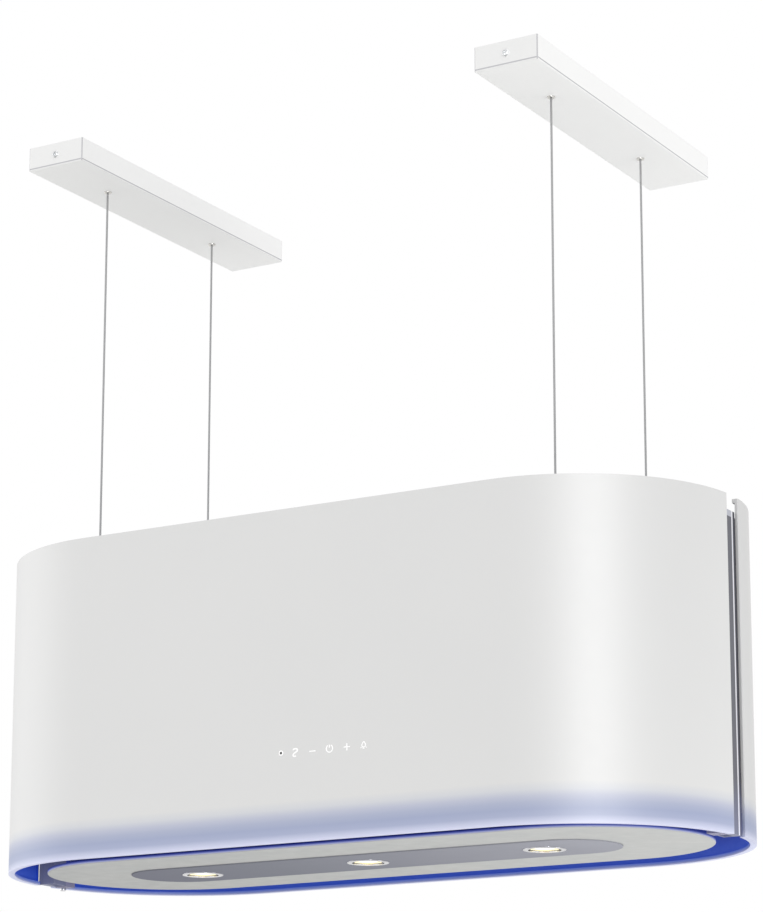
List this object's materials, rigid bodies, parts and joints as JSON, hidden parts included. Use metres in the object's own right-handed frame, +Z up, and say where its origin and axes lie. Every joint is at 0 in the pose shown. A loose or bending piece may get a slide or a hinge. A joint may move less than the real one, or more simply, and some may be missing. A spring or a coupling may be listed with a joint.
{
  "type": "island range hood",
  "caption": "White island range hood of two curved half shells hung on steel cables, with a hinged perimeter suction panel, spot lights and an internal fan.",
  "frame": {"origin": "centre of the four ceiling screws, on the ceiling plane", "axes": "+Z up, the touch controls face -Y, +X to the right when seen from the controls"},
  "size_m": [0.8988, 0.43, 0.836],
  "materials": {
    "white_powder_coat": "satin",
    "white_shell_paint": "satin",
    "galvanised_steel": "dull zinc",
    "zinc_screws": "bright zinc",
    "steel_cable": "stranded wire",
    "nickel_brass": "nickel plated",
    "chrome": "polished",
    "grey_anodised": "matt anodised",
    "light_grey_paint": "satin",
    "panel_paint": "satin",
    "panel_backing_aluminium": "plain",
    "strip_grey": "satin anodised",
    "lens_glass": "frosted",
    "blue_diffuser": "translucent",
    "white_icons": "gloss print",
    "black_plastic": "fine texture",
    "board_green": "solder resist",
    "white_plastic": "moulded",
    "filter_aluminium": "expanded mesh",
    "carbon_black": "granular",
    "fan_plastic": "moulded",
    "motor_steel": "plain",
    "hinge_steel": "bright zinc"
  },
  "bodies": {
    "ceiling_mount": {"canopy_covers": "white_powder_coat", "canopy_brackets": "galvanised_steel", "cover_screws": "zinc_screws", "cable_anchors": "nickel_brass", "cable_ferrules": "nickel_brass", "cable_front_left": "steel_cable", "cable_front_right": "steel_cable", "cable_rear_left": "steel_cable", "cable_rear_right": "steel_cable"},
    "hood": {"cable_grippers": "nickel_brass", "gripper_nuts": "zinc_screws", "front_shell": "white_shell_paint", "rear_shell": "white_shell_paint", "touch_icons": "white_icons", "touch_board": "board_green", "end_columns": "grey_anodised", "column_caps": "grey_anodised", "end_brackets": "light_grey_paint", "bracket_screws": "chrome", "column_brackets": "galvanised_steel", "hanger_rails": "galvanised_steel", "top_deck": "galvanised_steel", "outlet_grille": "black_plastic", "frame_screws": "zinc_screws", "filter_frame": "light_grey_paint", "baffle_plate": "light_grey_paint", "fan_housing": "galvanised_steel", "grease_filters": "filter_aluminium", "carbon_filter": "carbon_black", "blower_scroll": "fan_plastic", "blower_rails": "galvanised_steel", "motor_case": "motor_steel", "motor_mount": "galvanised_steel", "motor_bearings": "zinc_screws", "motor_stator": "motor_steel", "terminal_box": "black_plastic", "terminal_block": "white_plastic", "cable_gland": "black_plastic", "led_driver": "white_plastic", "hinge_brackets": "galvanised_steel", "hinge_pins": "zinc_screws", "magnet_catches": "black_plastic"},
    "filter_panel": {"perimeter_panel": "panel_paint", "panel_backing": "panel_backing_aluminium", "light_strip": "strip_grey", "spot_bezels": "chrome", "spot_lenses": "lens_glass", "spot_heat_sinks": "panel_backing_aluminium", "ambient_light_ring": "blue_diffuser", "panel_hinges": "hinge_steel", "catch_strikes": "zinc_screws"},
    "fan_rotor": {"motor_rotor": "motor_steel", "fan_shaft": "zinc_screws", "fan_wheels": "fan_plastic"},
    "collar_front_left": {"release_collar_front_left": "nickel_brass"},
    "collar_front_right": {"release_collar_front_right": "nickel_brass"},
    "collar_rear_left": {"release_collar_rear_left": "nickel_brass"},
    "collar_rear_right": {"release_collar_rear_right": "nickel_brass"},
    "latch_left": {"filter_latch_left": "black_plastic"},
    "latch_right": {"filter_latch_right": "black_plastic"}
  },
  "joints": [
    {"name": "height_adjust", "type": "slide", "parent": "ceiling_mount", "child": "hood", "axis": [0, 0, 1], "range_m": [-0.04, 0.12]},
    {"name": "panel_hinge", "type": "hinge", "parent": "hood", "child": "filter_panel", "pos_m": [0, 0.128, -0.806], "axis": [1, 0, 0], "range_deg": [0, 85]},
    {"name": "fan_spin", "type": "hinge", "parent": "hood", "child": "fan_rotor", "pos_m": [0, -0.05, -0.65], "axis": [1, 0, 0], "continuous": true},
    {"name": "collar_front_left_press", "type": "slide", "parent": "hood", "child": "collar_front_left", "axis": [0, 0, -1], "range_m": [0, 0.003], "stiffness_N_per_m": 800, "springref_m": -0.001},
    {"name": "collar_front_right_press", "type": "slide", "parent": "hood", "child": "collar_front_right", "axis": [0, 0, -1], "range_m": [0, 0.003], "stiffness_N_per_m": 800, "springref_m": -0.001},
    {"name": "collar_rear_left_press", "type": "slide", "parent": "hood", "child": "collar_rear_left", "axis": [0, 0, -1], "range_m": [0, 0.003], "stiffness_N_per_m": 800, "springref_m": -0.001},
    {"name": "collar_rear_right_press", "type": "slide", "parent": "hood", "child": "collar_rear_right", "axis": [0, 0, -1], "range_m": [0, 0.003], "stiffness_N_per_m": 800, "springref_m": -0.001},
    {"name": "latch_left_slide", "type": "slide", "parent": "hood", "child": "latch_left", "axis": [0, 1, 0], "range_m": [0, 0.007], "stiffness_N_per_m": 300, "springref_m": -0.001},
    {"name": "latch_right_slide", "type": "slide", "parent": "hood", "child": "latch_right", "axis": [0, 1, 0], "range_m": [0, 0.007], "stiffness_N_per_m": 300, "springref_m": -0.001}
  ]
}
